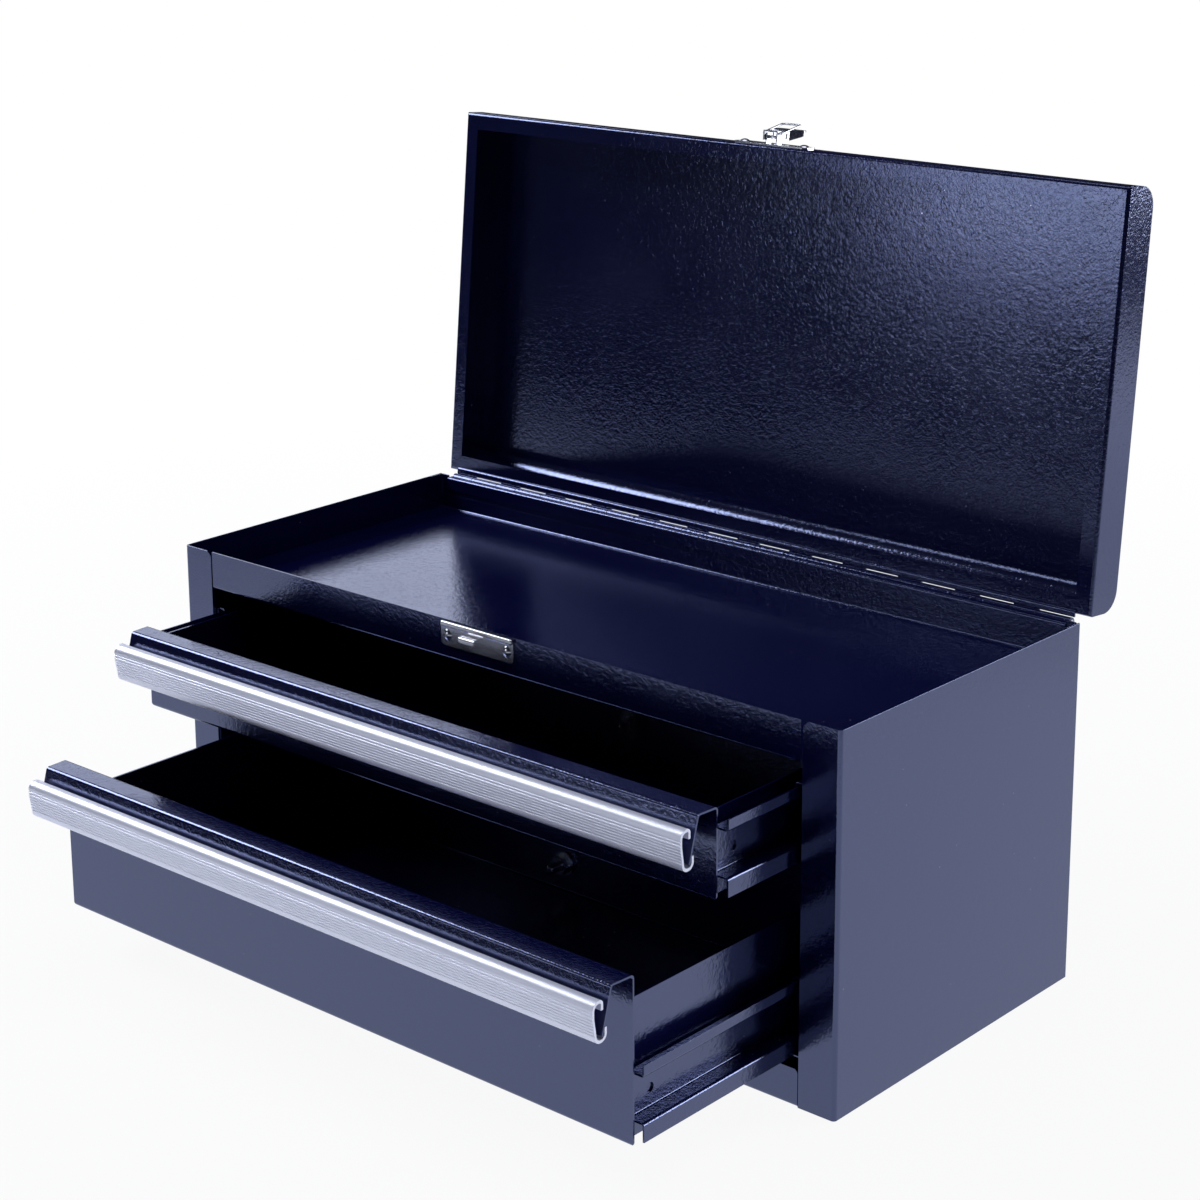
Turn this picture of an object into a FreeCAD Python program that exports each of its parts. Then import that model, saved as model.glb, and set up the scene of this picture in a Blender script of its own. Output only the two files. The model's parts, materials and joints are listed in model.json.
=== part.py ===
import FreeCAD, Part
import math
import os

# Machinist tool chest: sheet-steel cabinet, lidded top till, two drawers.
# X runs to the right seen from the front, the front faces -Y, +Z is up.
# The origin is the middle of the cabinet's underside. Millimetres.
# Rest pose: lid open on its stop, both drawers partly pulled out.

Vector = FreeCAD.Vector

# Cabinet shell
cabinet_width = 473.0
cabinet_depth = 212.0
cabinet_height = 203.2
sheet = 1.0
shell_bend = 1.2
stile_width = 22.5
stile_corner_across = 3.4
stile_corner_down = 3.0
shell_flange = 11.0
base_flange = 9.0
base_rail_height = 20.5
base_rail_corner = 2.5
base_rail_gap = 0.3
seat_gap = 0.1

# Till tray
till_depth = 21.2
till_flange_rise = 8.5
till_rail_gap = 1.0
till_rail_corner = 2.0

# Slide liners behind the stiles
liner_flange = 9.5
liner_bend = 0.8

# Piano hinge
hinge_back = 4.8
hinge_drop = 3.0
hinge_pitch = 38.1
cabinet_knuckle = 21.5
knuckle_gap = 0.25
knuckle_clear = 0.3
comb_reach = 2.9
barrel_radius = 3.0
barrel_bore = 2.0
hinge_pin_radius = 1.95
leaf_reach = 9.2
leaf_bend = 0.5
lid_leaf_rise = 3.0
lid_curl_start = 90.0
lid_curl_end = -200.0
cabinet_leaf_rise = 1.7
cabinet_curl_start = 148.0
cabinet_curl_end = -168.0

# Lid
lid_overhang = 0.8
lid_front_reach = 15.9
lid_height = 25.4
lid_back_offset = 0.6
lid_rise = 0.6
lid_open_angle = 95.5
lid_corner = 11.0
lid_rim_bend = 1.0
lid_flange = 10.0
mitre_gap = 0.15
leaf_slot_gap = 0.3

# Drawers
drawer_depth = 194.0
drawer_bend = 1.2
drawer_corner = 2.5
drawer_side_flange = 8.0
hood_lip_length = 23.3
hood_lip_lean = 6.4
hood_taper = 1.0
upper_panel_inset = 8.3
upper_head_room = 55.9
upper_height = 47.8
upper_side_height = 43.0
upper_hood = 12.6
upper_pull = 54.7
lower_panel_inset = 7.5
lower_bottom = 24.5
drawer_gap = 14.6
lower_side_drop = 16.5
lower_hood = 14.0
lower_pull = 115.8
full_travel = 150.0

# Drawer slides: a hat channel on the drawer rides in a C channel in the cabinet
slide_room = 14.5
hat_front = 3.8
hat_length = 186.0
hat_foot_level = 2.0
hat_lower_ledge = 10.7
hat_upper_ledge = 35.9
hat_top = 41.2
hat_lip_clear = 4.5
slide_bend = 0.6
hat_hole_radius = 2.5
hat_hole_level = 21.0
hat_hole_back = 15.5
runner_floor = 1.7
runner_top = 43.4
runner_lip_inset = 6.1
runner_low_lip = 6.5
runner_high_lip = 38.6
runner_clear = 3.0
stop_low = 18.0
stop_high = 26.0
stop_hat_clear = 3.5
stop_runner_reach = 4.5
stop_gap = 0.3

# Pull extrusion, measured down from the hood top and forward from the hood edge
pull_wall = 1.5
pull_drop = 5.0
pull_front = 12.8
pull_knee_down = 13.0
pull_lean = 2.0
pull_hook_out = 6.75
pull_hook_drop = 5.35
pull_height = 21.15
pull_back_out = 2.8
pull_back_rise = 5.9
pull_hook_radius = 0.8
pull_top_radius = 3.0
pull_knee_radius = 6.0
pull_root_radius = 2.4
flute_count = 8
flute_pitch = 1.6
flute_first = 9.9
flute_radius = 0.55
flute_depth = 0.32

# Rear bolt of a drawer
bolt_across = -10.0
bolt_level = 17.5
bolt_radius = 3.0
bolt_length = 14.0
bolt_head_radius = 5.6
bolt_head_rise = 3.2
washer_radius = 7.2
washer_thickness = 1.2
nut_flats = 10.0
nut_height = 4.6

# Strike plate on the till rail
strike_width = 52.5
strike_height = 13.6
strike_drop = 0.6
strike_corner = 2.5
strike_lip_height = 3.4
strike_lip_rise = 1.4
strike_lip_round = 1.1
tongue_width = 11.0
tongue_drop = 3.8
tongue_reach = 9.5
tongue_lip = 3.0
tongue_bend = 0.6
latch_sheet = 1.0
rivet_spread = 21.5
rivet_drop = 8.2
rivet_radius = 3.17
rivet_rise = 1.3
rivet_bore = 1.0
rivet_bore_depth = 0.9

# Draw latch on the lid front; out is away from the lid, up is from its rim
latch_low = 2.5
latch_high = 13.4
latch_corner = 3.0
latch_rivet_up = 8.0
ear_inner = 3.4
ear_outer = 4.1
ear_half = 2.2
ear_round = 1.9
lever_pivot_out = 4.8
lever_pivot_up = 7.2
lever_pin_radius = 0.9
latch_fit = 0.06
lever_near = 3.7
lever_neck = 15.0
lever_far = 25.5
lever_near_half = 5.2
lever_far_half = 15.8
lever_near_out = 8.6
lever_far_out = 9.2
lever_wall = 0.9
lever_chin_out = 3.0
lever_tip_depth = 1.0
lever_corner = 3.5
lever_slot_up = 11.8
lever_slot_out = 5.6
lever_slot_rise = 2.0
lever_slot_depth = 3.0
bail_pivot_out = 7.0
bail_pivot_up = 5.05
bail_wire = 0.6
bail_half = 6.4
bail_end_half = 4.35
bail_length = 19.15
bail_tilt = 14.8
bail_bend = 1.3

# Values that follow from the ones above
half_width = cabinet_width / 2
half_depth = cabinet_depth / 2
front = -half_depth
back = half_depth
half_sheet = sheet / 2
stile_inner = half_width - stile_width
wall_inner = half_width - sheet
flange_inner = wall_inner - sheet
hinge_y = back + hinge_back
hinge_z = cabinet_height - hinge_drop
hinge_pitches = int(cabinet_width / hinge_pitch)
hinge_length = hinge_pitch * hinge_pitches
hinge_left = -hinge_length / 2
lid_knuckle = hinge_pitch - cabinet_knuckle
lid_width = cabinet_width + 2 * lid_overhang
lid_depth = cabinet_depth + lid_back_offset + lid_front_reach
lid_half = lid_width / 2
lid_back = back + lid_back_offset
lid_front = lid_back - lid_depth
rim_z = cabinet_height + lid_rise
lid_top = rim_z + lid_height
lid_inner_half = lid_half - sheet
leaf_front = back - sheet - sheet
till_floor_level = cabinet_height - till_depth
drawer_half_width = stile_inner - slide_room
upper_bottom = till_floor_level - upper_head_room
lower_height = upper_bottom - drawer_gap - lower_bottom
lower_side_height = lower_height - lower_side_drop
slide_stop_y = front - full_travel + hat_front + hat_length - sheet - stop_gap
far = 1000.0
nearly_straight = 1e-6


def place_xy(u, v):
    return Vector(u, v, 0)


def place_xz(u, v):
    return Vector(u, 0, v)


def place_yz(u, v):
    return Vector(0, u, v)


def unit(start, end):
    length = math.hypot(end[0] - start[0], end[1] - start[1])
    return ((end[0] - start[0]) / length, (end[1] - start[1]) / length)


def outline_face(points, radii, place):
    """Closed flat face through the points with each corner rounded to its radius."""
    count = len(points)
    arcs = []
    for i in range(count):
        here = points[i]
        before = unit(here, points[i - 1])
        after = unit(here, points[(i + 1) % count])
        radius = radii[i]
        half = math.acos(max(-1.0, min(1.0, before[0] * after[0] + before[1] * after[1]))) / 2
        if radius <= 0 or abs(half - math.pi / 2) < nearly_straight:
            arcs.append((here, None, here))
            continue
        reach = radius / math.tan(half)
        start = (here[0] + before[0] * reach, here[1] + before[1] * reach)
        end = (here[0] + after[0] * reach, here[1] + after[1] * reach)
        middle = unit((0, 0), (before[0] + after[0], before[1] + after[1]))
        depth = radius / math.sin(half) - radius
        arcs.append((start, (here[0] + middle[0] * depth, here[1] + middle[1] * depth), end))
    edges = []
    for i in range(count):
        start, middle, end = arcs[i]
        if middle is not None:
            edges.append(Part.Arc(place(*start), place(*middle), place(*end)).toShape())
        following = arcs[(i + 1) % count][0]
        if math.hypot(following[0] - end[0], following[1] - end[1]) > nearly_straight:
            edges.append(Part.LineSegment(place(*end), place(*following)).toShape())
    return Part.Face(Part.Wire(edges))


def bent_strip(path, bends, thickness, place):
    """Section of a folded sheet: the path is its mid-line, each bend an inner radius."""
    sides = []
    for way in (1, -1):
        points = []
        for i in range(len(path)):
            if i > 0:
                along = unit(path[i - 1], path[i])
            if i < len(path) - 1:
                onward = unit(path[i], path[i + 1])
            if i == 0:
                along = onward
            if i == len(path) - 1:
                onward = along
            normal = (-along[1] - onward[1], along[0] + onward[0])
            scale = way * thickness / (1 + along[0] * onward[0] + along[1] * onward[1]) / 2
            points.append((path[i][0] + normal[0] * scale, path[i][1] + normal[1] * scale))
        sides.append(points)
    left = []
    right = []
    for i in range(len(path)):
        if i == 0 or i == len(path) - 1:
            left.append(0)
            right.append(0)
            continue
        before = unit(path[i - 1], path[i])
        after = unit(path[i], path[i + 1])
        turn = before[0] * after[1] - before[1] * after[0]
        left.append(bends[i - 1] + (0 if turn > 0 else thickness))
        right.append(bends[i - 1] + (thickness if turn > 0 else 0))
    return outline_face(sides[0] + sides[1][::-1], left + right[::-1], place)


def span(face, axis, low, high):
    """Extrudes a flat face from low to high along the axis."""
    moved = face.copy()
    moved.translate(axis * low)
    return moved.extrude(axis * (high - low))


def block(x0, x1, y0, y1, z0, z1):
    return Part.makeBox(x1 - x0, y1 - y0, z1 - z0, Vector(x0, y0, z0))


def mirrored(shape):
    return shape.mirror(Vector(0, 0, 0), Vector(1, 0, 0))


def both_sides(shape):
    return [shape, mirrored(shape)]


along_x = Vector(1, 0, 0)
along_y = Vector(0, 1, 0)
along_z = Vector(0, 0, 1)


def rounded_corners(shape, half, level, radius, way, low, high):
    """Rounds the two corners of a front panel at a level; the panel lies in the given way."""
    for side in (-1, 1):
        x = side * (half - radius)
        z = level + way * radius
        square = block(min(x, side * half), max(x, side * half), low, high,
                       min(level, z), max(level, z))
        disc = Part.makeCylinder(radius, high - low, Vector(x, low, z), along_y)
        shape = shape.cut(square.cut(disc))
    return shape


def open_lid(shape):
    """Turns a shape drawn on the closed lid to the rest pose, open on its stop."""
    turned = shape.copy()
    turned.rotate(Vector(0, hinge_y, hinge_z), along_x, -lid_open_angle)
    return turned


# ---------------------------------------------------------------- cabinet


def right_side_panel():
    """Side wall with the front stile folded from it."""
    path = [(stile_inner, front + half_sheet), (half_width - half_sheet, front + half_sheet),
            (half_width - half_sheet, back)]
    panel = span(bent_strip(path, [shell_bend], sheet, place_xy), along_z, 0, cabinet_height)
    corner = [(stile_inner, cabinet_height - stile_corner_down), (stile_inner, cabinet_height),
              (stile_inner + stile_corner_across, cabinet_height)]
    cut = span(outline_face(corner, [0, 0, 0], place_xz), along_y, front, front + sheet)
    return panel.cut(cut)


def back_panel():
    """Rear wall with flanges folded forward inside the sides; its top edge is low at the hinge."""
    edge = wall_inner - half_sheet
    rear = back - half_sheet
    path = [(-edge, rear - shell_flange), (-edge, rear), (edge, rear), (edge, rear - shell_flange)]
    panel = span(bent_strip(path, [shell_bend, shell_bend], sheet, place_xy),
                 along_z, 0, cabinet_height)
    leaf_low = hinge_z + cabinet_leaf_rise - sheet
    room = block(hinge_left - seat_gap, -hinge_left + seat_gap, back - sheet - seat_gap, far,
                 leaf_low - leaf_bend, far)
    return panel.cut(room)


def bottom_pan():
    """Floor of the cabinet with the front base rail, side flanges and a rear flange."""
    rail_half = stile_inner - base_rail_gap
    rear = back - sheet - half_sheet
    path = [(rear, base_flange), (rear, half_sheet), (front + half_sheet, half_sheet),
            (front + half_sheet, base_rail_height)]
    middle = span(bent_strip(path, [shell_bend, shell_bend], sheet, place_yz),
                  along_x, -rail_half, rail_half)
    middle = rounded_corners(middle, rail_half, base_rail_height, base_rail_corner, -1,
                             front, front + sheet)
    keep = stile_inner - sheet
    for x0, x1 in ((-far, -keep), (keep, far)):
        middle = middle.cut(block(x0, x1, rear - half_sheet - shell_bend, far, sheet, far))
    edge = flange_inner + half_sheet
    wide = [(-edge, base_flange), (-edge, half_sheet), (edge, half_sheet), (edge, base_flange)]
    tray = span(bent_strip(wide, [shell_bend, shell_bend], sheet, place_xz),
                along_y, front + sheet + seat_gap, back - sheet)
    tray = tray.cut(block(-keep, keep, front, back, -sheet, sheet))
    notch = flange_inner - seat_gap
    for x0, x1 in ((-far, -notch), (notch, far)):
        tray = tray.cut(block(x0, x1, back - sheet - shell_flange - seat_gap, far, -far, far))
    return middle.fuse(tray).removeSplitter()


def right_liner():
    """Inner side sheet, level with the stile edge, that carries the drawer runners."""
    x_mid = stile_inner + half_sheet
    y_front = front + sheet + half_sheet
    y_rear = back - sheet - half_sheet
    path = [(x_mid + liner_flange, y_front), (x_mid, y_front), (x_mid, y_rear),
            (x_mid + liner_flange, y_rear)]
    return span(bent_strip(path, [liner_bend, liner_bend], sheet, place_xy),
                along_z, sheet, till_floor_level - sheet)


def till_tray():
    """Till floor folded up into the front rail and into a low rear flange."""
    rail_half = stile_inner - till_rail_gap
    rear = back - sheet - half_sheet
    level = till_floor_level - half_sheet
    flange_top = till_floor_level + till_flange_rise
    path = [(rear, flange_top), (rear, level), (front + half_sheet, level),
            (front + half_sheet, cabinet_height)]
    middle = span(bent_strip(path, [shell_bend, shell_bend], sheet, place_yz),
                  along_x, -rail_half, rail_half)
    middle = rounded_corners(middle, rail_half, till_floor_level - sheet, till_rail_corner, 1,
                             front, front + sheet)
    wing = [(rear, flange_top), (rear, level), (front + sheet + seat_gap, level)]
    face = bent_strip(wing, [shell_bend], sheet, place_yz)
    wide = span(face, along_x, -(wall_inner - seat_gap), wall_inner - seat_gap)
    wide = wide.cut(block(-rail_half, rail_half, -far, far, -far, far))
    notch = flange_inner - seat_gap
    for x0, x1 in ((-far, -notch), (notch, far)):
        wide = wide.cut(block(x0, x1, back - sheet - shell_flange - seat_gap, far, -far, far))
    return middle.fuse(wide).removeSplitter()


def turned(edges, centre, way):
    """Revolves a closed half section about its axis and stands it on the centre along Y."""
    body = Part.Face(Part.Wire(edges)).revolve(Vector(0, 0, 0), along_z, 360)
    body.rotate(Vector(0, 0, 0), along_x, -90 * way)
    body.translate(centre)
    return body


def half_section(points, bulge):
    """Half section through the points; the bulge bows the edge after the named point."""
    edges = []
    for i in range(len(points)):
        here = place_xz(*points[i])
        following = place_xz(*points[(i + 1) % len(points)])
        if i in bulge:
            edges.append(Part.Arc(here, place_xz(*bulge[i]), following).toShape())
        else:
            edges.append(Part.LineSegment(here, following).toShape())
    return edges


def cap_point(radius, rise, across):
    """Height of a low dome at a distance from its axis."""
    ball = (radius * radius + rise * rise) / (2 * rise)
    return (across, math.sqrt(ball * ball - across * across) - ball + rise)


def dome(centre, way, radius, rise, bore=0, bore_depth=0):
    """Low rounded head standing on its centre point, bored if asked."""
    points = [(0, 0), (radius, 0)]
    if bore > 0:
        edge = cap_point(radius, rise, bore)
        points += [edge, (bore, edge[1] - bore_depth), (0, edge[1] - bore_depth)]
    else:
        points += [(0, rise)]
    bulge = {1: cap_point(radius, rise, (radius + bore) / 2)}
    return turned(half_section(points, bulge), centre, way)


# ---------------------------------------------------------------- hinge


def leaf_strip(end, rise):
    """Leaf section: flat inside the wall, then folded over its edge towards the pin."""
    x_flat = leaf_front + half_sheet
    level = hinge_z + rise - half_sheet
    return bent_strip([(x_flat, end), (x_flat, level), (hinge_y, level)], [leaf_bend], sheet,
                      place_yz)


def leaf_curl(start_degrees, end_degrees):
    """Section of the knuckle rolled round the pin from one angle to the other."""
    start = math.radians(start_degrees)
    finish = math.radians(end_degrees)
    middle = (start + finish) / 2

    def at(radius, angle):
        return place_yz(hinge_y + radius * math.cos(angle), hinge_z + radius * math.sin(angle))

    rim = Part.Arc(at(barrel_radius, start), at(barrel_radius, middle), at(barrel_radius, finish))
    bore = Part.Arc(at(barrel_bore, finish), at(barrel_bore, middle), at(barrel_bore, start))
    tip = Part.LineSegment(at(barrel_radius, finish), at(barrel_bore, finish))
    root = Part.LineSegment(at(barrel_bore, start), at(barrel_radius, start))
    return Part.Face(Part.Wire([rim.toShape(), tip.toShape(), bore.toShape(), root.toShape()]))


def barrel_length(x0, x1, radius):
    return Part.makeCylinder(radius, x1 - x0, Vector(x0, hinge_y, hinge_z), along_x)


def hinge_leaf(strip, curl, own_start, own_length):
    """One half of the piano hinge with its evenly spaced knuckles."""
    plate = span(strip, along_x, hinge_left, -hinge_left)
    plate = plate.cut(barrel_length(hinge_left, -hinge_left, barrel_bore))
    knuckles = span(curl, along_x, hinge_left, -hinge_left)
    notches = []
    gaps = []
    for i in range(-1, hinge_pitches):
        x0 = hinge_left + i * hinge_pitch + own_start + own_length - knuckle_gap
        x1 = x0 + hinge_pitch - own_length + 2 * knuckle_gap
        notches.append(block(x0, x1, hinge_y - comb_reach, far, 0, far))
        notches.append(barrel_length(x0, x1, barrel_radius + knuckle_clear))
        gaps.append(block(x0, x1, 0, far, 0, far))
    plate = plate.cut(Part.makeCompound(notches))
    return plate.fuse(knuckles.cut(Part.makeCompound(gaps))).removeSplitter()


def hinge_cabinet_leaf():
    strip = leaf_strip(cabinet_height - leaf_reach, cabinet_leaf_rise)
    curl = leaf_curl(cabinet_curl_start, cabinet_curl_end)
    return hinge_leaf(strip, curl, lid_knuckle, cabinet_knuckle)


def hinge_lid_leaf():
    strip = leaf_strip(rim_z + sheet + leaf_reach, lid_leaf_rise)
    curl = leaf_curl(lid_curl_start, lid_curl_end)
    return open_lid(hinge_leaf(strip, curl, 0, lid_knuckle))


def hinge_pin():
    return Part.makeCylinder(hinge_pin_radius, hinge_length,
                             Vector(hinge_left, hinge_y, hinge_z), along_x)


# ---------------------------------------------------------------- lid


def lid_wrap():
    """Front, top and rear of the lid in one sheet with its rim folded inward."""
    rim = rim_z + half_sheet
    top = lid_top - half_sheet
    y0 = lid_front + half_sheet
    y1 = lid_back - half_sheet
    path = [(lid_front + lid_flange, rim), (y0, rim), (y0, top), (y1, top), (y1, rim),
            (lid_back - lid_flange, rim)]
    bends = [lid_rim_bend, lid_corner, lid_corner, lid_rim_bend]
    wrap = span(bent_strip(path, bends, sheet, place_yz), along_x, -lid_inner_half, lid_inner_half)
    tools = []
    edge = lid_half - mitre_gap
    root = edge - lid_flange - sheet
    for y_out, way in ((lid_front, 1), (lid_back, -1)):
        y_in = y_out + way * (lid_flange + sheet)
        points = [(edge, y_out), (root, y_in), (far, y_in), (far, y_out)]
        wedge = span(outline_face(points, [0] * 4, place_xy), along_z, 0, rim_z + sheet)
        tools += both_sides(wedge)
    tools.append(block(hinge_left - leaf_slot_gap, -hinge_left + leaf_slot_gap,
                       leaf_front - leaf_slot_gap, far, 0, rim_z + sheet + seat_gap))
    return open_lid(wrap.cut(Part.makeCompound(tools)))


def right_lid_end():
    """Flat end wall of the lid with its rim flange mitred to the wrap."""
    path = [(lid_half - lid_flange, rim_z + half_sheet), (lid_half - half_sheet, rim_z + half_sheet),
            (lid_half - half_sheet, lid_top)]
    wall = span(bent_strip(path, [lid_rim_bend], sheet, place_xz), along_y, lid_front, lid_back)
    big = lid_corner + sheet
    small = lid_rim_bend + sheet
    points = [(lid_front, rim_z), (lid_back, rim_z), (lid_back, lid_top), (lid_front, lid_top)]
    shape = span(outline_face(points, [small, small, big, big], place_yz), along_x, 0, lid_half)
    wall = wall.common(shape)
    edge = lid_half + mitre_gap
    for y_out, way in ((lid_front, 1), (lid_back, -1)):
        y_in = y_out + way * (lid_flange + sheet)
        root = edge - lid_flange - sheet
        points = [(edge, y_out), (root, y_in), (0, y_in), (0, y_out)]
        wedge = span(outline_face(points, [0] * 4, place_xy), along_z, 0, rim_z + sheet)
        inside = block(0, lid_inner_half, -far, far, 0, far)
        wall = wall.cut(wedge.common(inside))
    return open_lid(wall)


# ---------------------------------------------------------------- latch


def lid_point(out, up):
    """Position on the closed lid: out from its front face, up from its rim."""
    return (lid_front - out, rim_z + up)


def lid_face(points, radii):
    return outline_face([lid_point(*p) for p in points], radii, place_yz)


def lid_rod(radius, half, out, up):
    """Round bar across the closed lid, centred on its middle."""
    y, z = lid_point(out, up)
    return Part.makeCylinder(radius, 2 * half, Vector(-half, y, z), along_x)


def latch_base():
    """Plate on the lid front with two ears that carry the lever pin."""
    half = strike_width / 2
    points = [(-half, rim_z + latch_low), (half, rim_z + latch_low),
              (half, rim_z + latch_high), (-half, rim_z + latch_high)]
    face = outline_face(points, [latch_corner] * 4, place_xz)
    plate = span(face, along_y, lid_front - latch_sheet, lid_front)
    low = lever_pivot_up - ear_half
    high = lever_pivot_up + ear_half
    tip = lever_pivot_out + ear_half
    side = [(0, low), (0, high), (tip, high), (tip, low)]
    ear = span(lid_face(side, [0, 0, ear_round, ear_round]), along_x, ear_inner, ear_outer)
    base = plate.multiFuse(both_sides(ear)).removeSplitter()
    return open_lid(base.cut(lid_rod(lever_pin_radius, far, lever_pivot_out, lever_pivot_up)))


def lever_plan(inset):
    """Lever outline seen from the front: a narrow housing that widens into a fan."""
    near = lever_near_half - inset
    wide = lever_far_half - inset
    low = rim_z + lever_near - inset
    neck = rim_z + lever_neck
    high = rim_z + lever_far + inset
    points = [(-near, low), (near, low), (near, neck), (wide, high), (-wide, high), (-near, neck)]
    corner = lever_corner if inset == 0 else 0
    face = outline_face(points, [0, 0, 0, corner, corner, 0], place_xz)
    return span(face, along_y, lid_front - far / 2, lid_front + far / 2)


def latch_lever():
    """Folded finger lever: a narrow slotted housing at the pin, an open fan at its tip."""
    side = [(lever_chin_out, lever_near), (lever_near_out, lever_near),
            (lever_far_out, lever_far), (lever_far_out - lever_tip_depth, lever_far),
            (lever_chin_out, lever_neck)]
    body = span(lid_face(side, [0] * 5), along_x, -lever_far_half, lever_far_half)
    body = body.common(lever_plan(0))
    rise = (lever_far_out - lever_near_out) / (lever_far - lever_near)
    low = lever_near - sheet
    high = lever_far + sheet
    inside = [(-far, low), (lever_near_out - lever_wall - rise * sheet, low),
              (lever_far_out - lever_wall + rise * sheet, high), (-far, high)]
    hollow = span(lid_face(inside, [0] * 4), along_x, -lever_far_half, lever_far_half)
    body = body.cut(hollow.common(lever_plan(lever_wall)))
    y, z = lid_point(lever_slot_out, lever_slot_up)
    slot = block(-lever_far_half, lever_far_half, y - lever_slot_depth / 2, y + lever_slot_depth / 2,
                 z - lever_slot_rise / 2, z + lever_slot_rise / 2)
    holes = [lid_rod(lever_pin_radius + latch_fit, far, lever_pivot_out, lever_pivot_up),
             lid_rod(bail_wire + latch_fit, far, bail_pivot_out, bail_pivot_up), slot]
    return open_lid(body.cut(Part.makeCompound(holes)))


def lever_pin():
    return open_lid(lid_rod(lever_pin_radius, lever_near_half, lever_pivot_out, lever_pivot_up))


def latch_bail():
    """Wire loop that hooks under the tongue; at rest it lies back over the lever."""
    tilt = math.radians(bail_tilt)
    out_end = bail_pivot_out + bail_length * math.sin(tilt)
    up_end = bail_pivot_up + bail_length * math.cos(tilt)
    y0, z0 = lid_point(bail_pivot_out, bail_pivot_up)
    y1, z1 = lid_point(out_end, up_end)
    corners = [Vector(-bail_end_half, y0, z0), Vector(-bail_half, y0, z0), Vector(-bail_half, y1, z1),
               Vector(bail_half, y1, z1), Vector(bail_half, y0, z0), Vector(bail_end_half, y0, z0)]
    edges = []
    start = corners[0]
    for i in range(1, len(corners) - 1):
        into = (corners[i] - corners[i - 1]).normalize()
        onto = (corners[i + 1] - corners[i]).normalize()
        enter = corners[i] - into * bail_bend
        leave = corners[i] + onto * bail_bend
        middle = corners[i] + (onto - into).normalize() * (bail_bend * (math.sqrt(2) - 1))
        edges.append(Part.LineSegment(start, enter).toShape())
        edges.append(Part.Arc(enter, middle, leave).toShape())
        start = leave
    edges.append(Part.LineSegment(start, corners[-1]).toShape())
    ring = Part.Wire(Part.makeCircle(bail_wire, corners[0], along_x))
    return open_lid(Part.Wire(edges).makePipeShell([ring], True, False))


def rivet_pair(face_y, level):
    """Two pop rivets with a bored centre, heads facing the front."""
    heads = []
    for x in (-rivet_spread, rivet_spread):
        heads.append(dome(Vector(x, face_y, level), -1, rivet_radius, rivet_rise,
                          rivet_bore, rivet_bore_depth))
    return heads


def strike_plate():
    """Plate on the till rail with a rolled top lip and the hooked tongue."""
    half = strike_width / 2
    face_y = front - latch_sheet
    high = cabinet_height - strike_drop
    low = high - strike_height
    points = [(-half, low), (half, low), (half, high), (-half, high)]
    plate = span(outline_face(points, [strike_corner] * 4, place_xz), along_y, face_y, front)
    lip_low = high - strike_lip_height
    lip_points = [(-half, lip_low), (half, lip_low), (half, high), (-half, high)]
    round_lip = strike_lip_height / 2 - seat_gap
    lip = span(outline_face(lip_points, [round_lip] * 4, place_xz),
               along_y, face_y - strike_lip_rise, face_y)
    edges = [e for e in lip.Edges if e.BoundBox.YMax < face_y - strike_lip_rise + seat_gap]
    lip = lip.makeFillet(strike_lip_round, edges)
    tongue_top = cabinet_height - tongue_drop
    mid = tongue_top - latch_sheet / 2
    tip = front - tongue_reach + latch_sheet / 2
    path = [(face_y, mid), (tip, mid), (tip, tongue_top - tongue_lip)]
    tongue = span(bent_strip(path, [tongue_bend], latch_sheet, place_yz),
                  along_x, -tongue_width / 2, tongue_width / 2)
    return plate.fuse(lip).fuse(tongue).removeSplitter()


# ---------------------------------------------------------------- drawers


class Drawer:
    """Sizes of one drawer."""

    def __init__(self, name, panel_half, bottom, height, side_height, hood, pull):
        self.name = name
        self.panel_half = panel_half
        self.pull_half = panel_half - hood_taper
        self.bottom = bottom
        self.height = height
        self.side_height = side_height
        self.hood = hood
        self.face = front - pull


upper = Drawer("upper", stile_inner - upper_panel_inset, upper_bottom, upper_height,
               upper_side_height, upper_hood, upper_pull)
lower = Drawer("lower", stile_inner - lower_panel_inset, lower_bottom, lower_height,
               lower_side_height, lower_hood, lower_pull)


def drawer_tray(d):
    """Lip, hood, front panel, floor and rear wall folded from one sheet."""
    y = d.face
    z = d.bottom
    hood_z = z + d.height - half_sheet
    rear = y + drawer_depth - half_sheet
    lip_y = y - d.hood - hood_lip_lean + half_sheet
    path = [(lip_y, z + d.height - hood_lip_length), (y - d.hood + half_sheet, hood_z),
            (y + half_sheet, hood_z), (y + half_sheet, z + half_sheet), (rear, z + half_sheet),
            (rear, z + d.side_height)]
    tray = span(bent_strip(path, [drawer_bend] * 4, sheet, place_yz),
                along_x, -d.panel_half, d.panel_half)
    corner = [(d.panel_half, y), (d.pull_half, y - d.hood), (d.pull_half, -far), (far, -far), (far, y)]
    tray = tray.cut(Part.makeCompound(both_sides(span(outline_face(corner, [0] * 5, place_xy),
                                                      along_z, 0, far))))
    for x0, x1 in ((-far, -drawer_half_width), (drawer_half_width, far)):
        tray = tray.cut(block(x0, x1, y + sheet, far, -far, z + d.height - sheet - drawer_bend))
        tray = tray.cut(block(x0, x1, y + sheet + drawer_bend, far, -far, far))
    floor_half = drawer_half_width - sheet
    for x0, x1 in ((-far, -floor_half), (floor_half, far)):
        tray = tray.cut(block(x0, x1, y + sheet + drawer_bend, rear - half_sheet, -far, far))
    return rounded_corners(tray, d.panel_half, z, drawer_corner, 1, y, y + sheet)


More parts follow.
